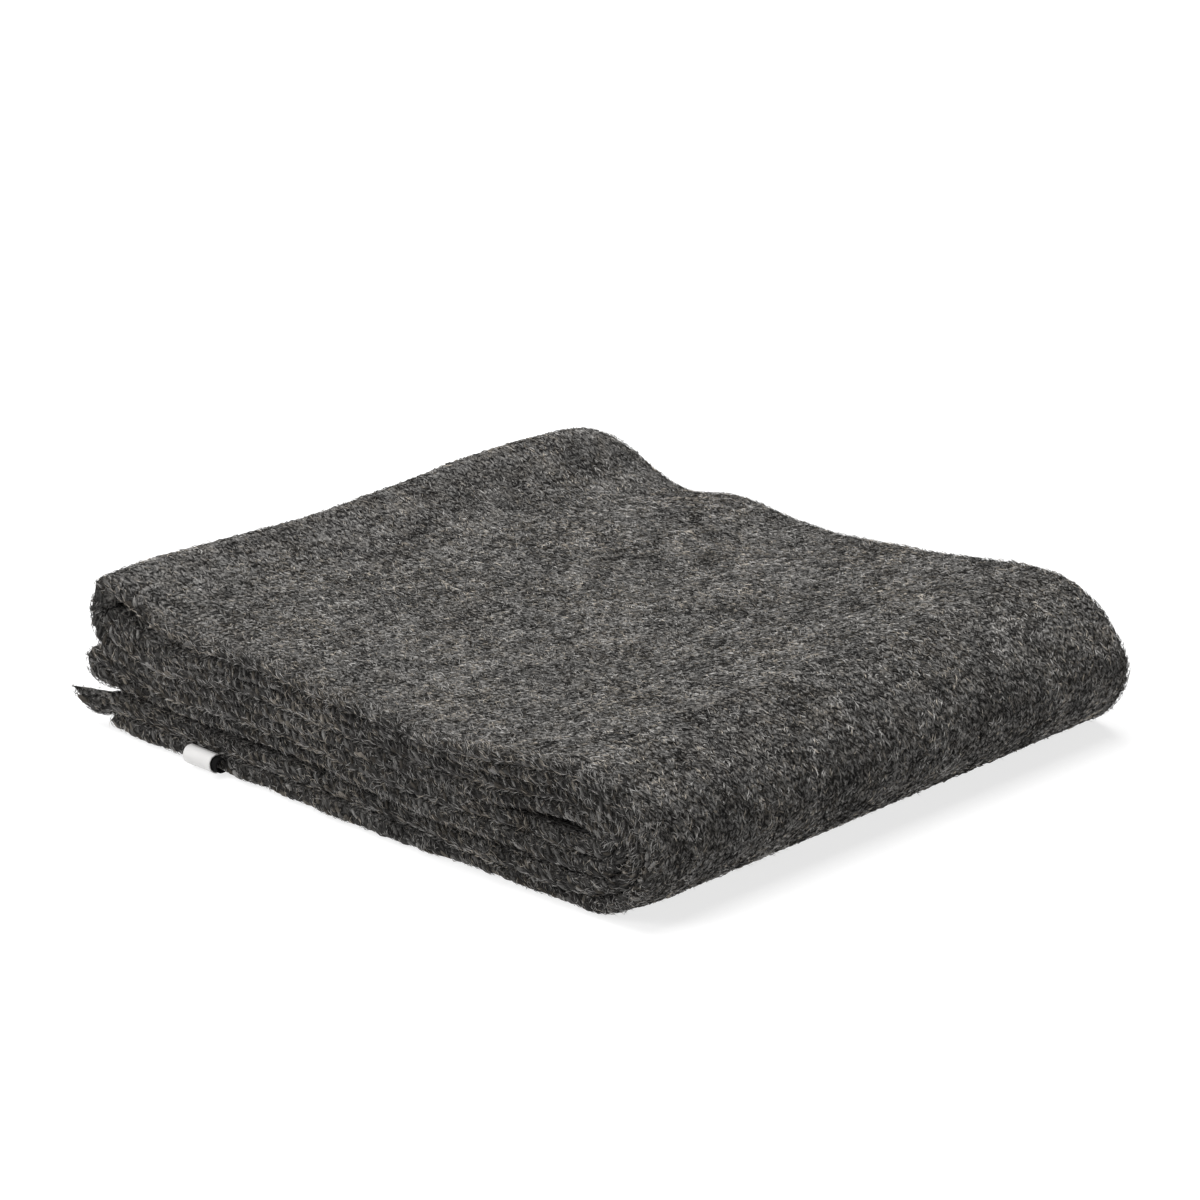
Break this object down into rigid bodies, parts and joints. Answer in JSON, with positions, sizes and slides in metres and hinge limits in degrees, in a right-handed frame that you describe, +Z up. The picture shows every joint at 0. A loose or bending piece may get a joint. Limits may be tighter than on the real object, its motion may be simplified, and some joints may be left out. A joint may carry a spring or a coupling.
{
  "type": "folded knit scarf",
  "caption": "Long brushed knit scarf folded into a flat rectangular stack, rounded at one end and layered at the edges, with a small bare loop label on one selvedge.",
  "frame": {"origin": "the middle of the folded scarf's footprint, on the surface it rests on", "axes": "+Z up through the layers, +Y from the rounded turn at the front to the free ends at the back, +X across the cloth from the labelled selvedge to the other one"},
  "size_m": [0.23, 0.2478, 0.051],
  "materials": {
    "knit": "brushed charcoal marl stockinette knit, fuzzy and fully matte",
    "label_satin": "plain white woven satin ribbon with a soft sheen",
    "label_dark": "plain black woven ribbon"
  },
  "bodies": {
    "root": {"outer_turn": "knit", "hidden_layers": "knit", "upper_free_end": "knit", "label_white": "label_satin", "label_black": "label_dark"}
  },
  "joints": []
}
